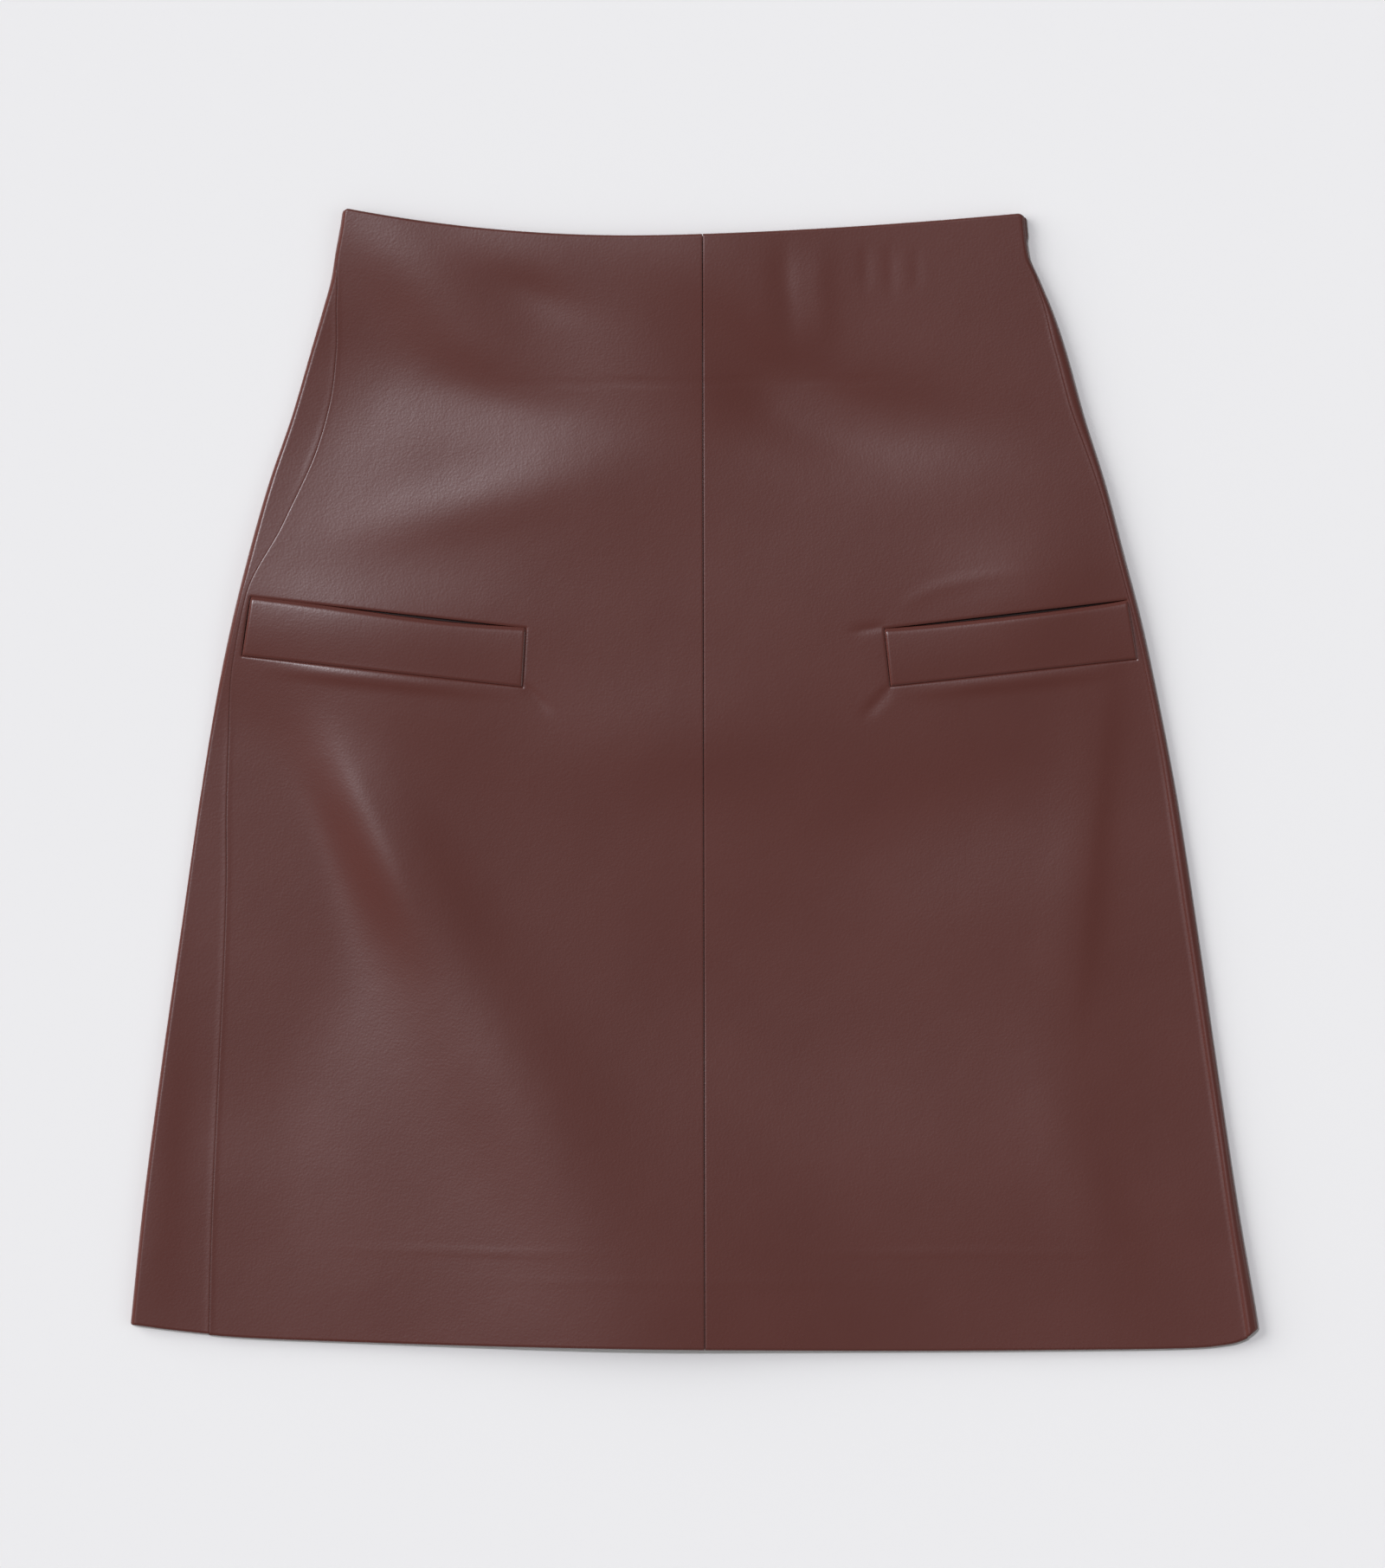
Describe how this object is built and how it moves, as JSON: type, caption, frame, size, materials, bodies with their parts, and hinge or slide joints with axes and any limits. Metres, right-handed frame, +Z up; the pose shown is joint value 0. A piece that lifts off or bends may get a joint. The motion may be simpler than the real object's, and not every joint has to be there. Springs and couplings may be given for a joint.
{
  "type": "leather skirt laid flat",
  "caption": "Short A-line leather skirt laid flat on its back, front up, with a centre front seam, slanted welt pockets and a concealed back zip.",
  "frame": {"origin": "on the surface that the skirt lies on, under the middle of its box", "axes": "+Z up out of the surface, +Y from hem to waist, +X to the right across the front as it is seen"},
  "size_m": [0.5602, 0.5664, 0.0077],
  "materials": {
    "leather": "smooth dark reddish brown faux leather, fine grain, semi-gloss",
    "pocket_facing": "the same leather inside the pocket mouths",
    "zip_metal": "brown lacquered zinc slider and pull tab"
  },
  "bodies": {
    "skirt": {"front_left": "leather", "front_right": "leather", "back_left": "leather", "back_right": "leather", "welt_left": "leather", "welt_right": "leather", "pocket_facing_left": "pocket_facing", "pocket_facing_right": "pocket_facing", "zip_slider": "zip_metal"},
    "pull_tab": {"zip_pull_tab": "zip_metal"}
  },
  "joints": [
    {"name": "pull_tab_swing", "type": "hinge", "parent": "skirt", "child": "pull_tab", "pos_m": [-0.0046, 0.25266, 0.00115], "axis": [1, 0, 0], "range_deg": [0, 150]}
  ]
}
